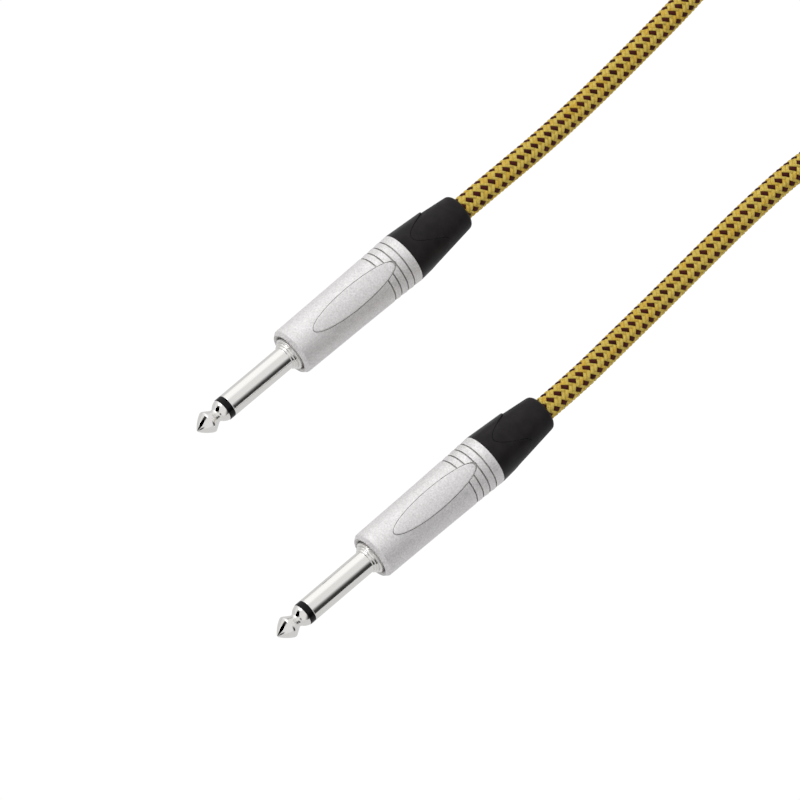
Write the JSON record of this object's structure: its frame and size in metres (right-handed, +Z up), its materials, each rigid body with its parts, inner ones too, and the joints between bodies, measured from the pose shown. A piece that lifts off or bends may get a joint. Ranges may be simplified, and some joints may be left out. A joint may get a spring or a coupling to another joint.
{
  "type": "instrument cable",
  "caption": "Mono instrument cable with slim metal 6.35 mm plugs, black screw boots and a yellow and brown braided jacket.",
  "frame": {"origin": "on the surface the plugs lie on, under the middle of the two plugs' box", "axes": "+Z up; both plugs' tips point towards -Y and the cable leaves them towards +Y; plug_a is on the -X side"},
  "size_m": [0.0851, 0.3386, 0.0296],
  "materials": {
    "polished_nickel": "mirror",
    "satin_nickel": "satin, finely blasted",
    "black_ring": "gloss",
    "hard_black": "satin moulded",
    "soft_black": "matte moulded",
    "clamp_plastic": "natural moulded",
    "insert_plastic": "moulded",
    "tinned_metal": "tinned",
    "solder": "bright",
    "copper": "bare strands",
    "core_plastic": "smooth",
    "jacket_rubber": "smooth",
    "braid": "yellow braid with brown picks",
    "strap": "hook-and-loop strap"
  },
  "bodies": {
    "root": {"tip_contact_a": "polished_nickel", "sleeve_a": "polished_nickel", "tip_insulator_a": "black_ring", "shell_a": "satin_nickel", "contact_insert_a": "insert_plastic", "ground_lug_a": "tinned_metal", "tip_solder_lug_a": "tinned_metal", "solder_joints_a": "solder", "centre_conductor_a": "copper", "core_insulation_a": "core_plastic", "shield_pigtail_a": "copper", "inner_jacket_a": "jacket_rubber", "cable_end_a": "braid", "tip_contact_b": "polished_nickel", "sleeve_b": "polished_nickel", "tip_insulator_b": "black_ring", "shell_b": "satin_nickel", "contact_insert_b": "insert_plastic", "ground_lug_b": "tinned_metal", "tip_solder_lug_b": "tinned_metal", "solder_joints_b": "solder", "centre_conductor_b": "copper", "core_insulation_b": "core_plastic", "shield_pigtail_b": "copper", "inner_jacket_b": "jacket_rubber", "cable_end_b": "braid", "cable_run_a": "braid", "cable_run_b": "braid", "cable_coil": "braid", "cable_tie": "strap"},
    "chuck_a": {"chuck_a": "clamp_plastic"},
    "boot_a": {"boot_bushing_a": "hard_black", "boot_sleeve_a": "soft_black"},
    "chuck_b": {"chuck_b": "clamp_plastic"},
    "boot_b": {"boot_bushing_b": "hard_black", "boot_sleeve_b": "soft_black"}
  },
  "joints": [
    {"name": "chuck_slide_a", "type": "slide", "parent": "root", "child": "chuck_a", "axis": [0, 1, 0], "range_m": [0, 0.006]},
    {"name": "boot_turn_a", "type": "hinge", "parent": "chuck_a", "child": "boot_a", "pos_m": [-0.02805, 0.0463, 0.00728], "axis": [0, 1, 0], "range_deg": [0, 1440]},
    {"name": "chuck_slide_b", "type": "slide", "parent": "root", "child": "chuck_b", "axis": [0, 1, 0], "range_m": [0, 0.006]},
    {"name": "boot_turn_b", "type": "hinge", "parent": "chuck_b", "child": "boot_b", "pos_m": [0.02805, 0.0217, 0.00728], "axis": [0, 1, 0], "range_deg": [0, 1440]}
  ],
  "couplings": [
    {"joint": "boot_turn_a", "follows": "chuck_slide_a", "rad_per_m": 4188.8},
    {"joint": "boot_turn_b", "follows": "chuck_slide_b", "rad_per_m": 4188.8}
  ]
}
